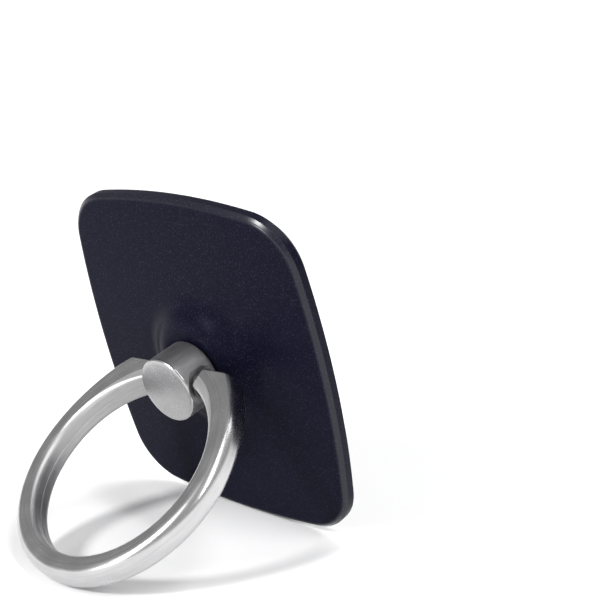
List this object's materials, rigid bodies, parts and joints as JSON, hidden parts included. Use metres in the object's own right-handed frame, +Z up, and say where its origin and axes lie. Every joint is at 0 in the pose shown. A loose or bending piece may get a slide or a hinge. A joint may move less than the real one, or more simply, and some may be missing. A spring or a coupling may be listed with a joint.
{
  "type": "phone ring holder",
  "caption": "Stick-on phone ring holder: bowed dark plate with an adhesive back, swivelling post and folding metal finger ring, standing open as a kickstand.",
  "frame": {"origin": "middle of the holder's base, on the floor it stands on with the ring open", "axes": "+X across the plate, -Y out of the plate's front towards the ring's foot, +Z up"},
  "size_m": [0.0358, 0.031, 0.0385],
  "materials": {
    "plate_paint": "near-black satin paint, fine grain",
    "satin_nickel": "satin nickel plate",
    "bush_steel": "turned steel",
    "zinc_steel": "bright zinc plate",
    "spring_steel": "oiled spring steel",
    "foam_adhesive": "dark acrylic foam, tacky and matte"
  },
  "bodies": {
    "base": {"base_plate": "plate_paint", "adhesive_pad": "foam_adhesive", "disc_spring": "spring_steel"},
    "post": {"swivel_post": "satin_nickel", "retaining_washer": "zinc_steel", "hinge_bush_right": "bush_steel", "hinge_bush_left": "bush_steel"},
    "ring": {"finger_ring": "satin_nickel", "hinge_pin": "zinc_steel"}
  },
  "joints": [
    {"name": "post_swivel", "type": "hinge", "parent": "base", "child": "post", "pos_m": [0, 0.006, 0.01844], "axis": [0, -0.9536, -0.301], "continuous": true},
    {"name": "ring_hinge", "type": "hinge", "parent": "post", "child": "ring", "pos_m": [0, 0.00357, 0.01768], "axis": [-0.9969, 0.0236, -0.0748], "range_deg": [-65, 115]}
  ]
}
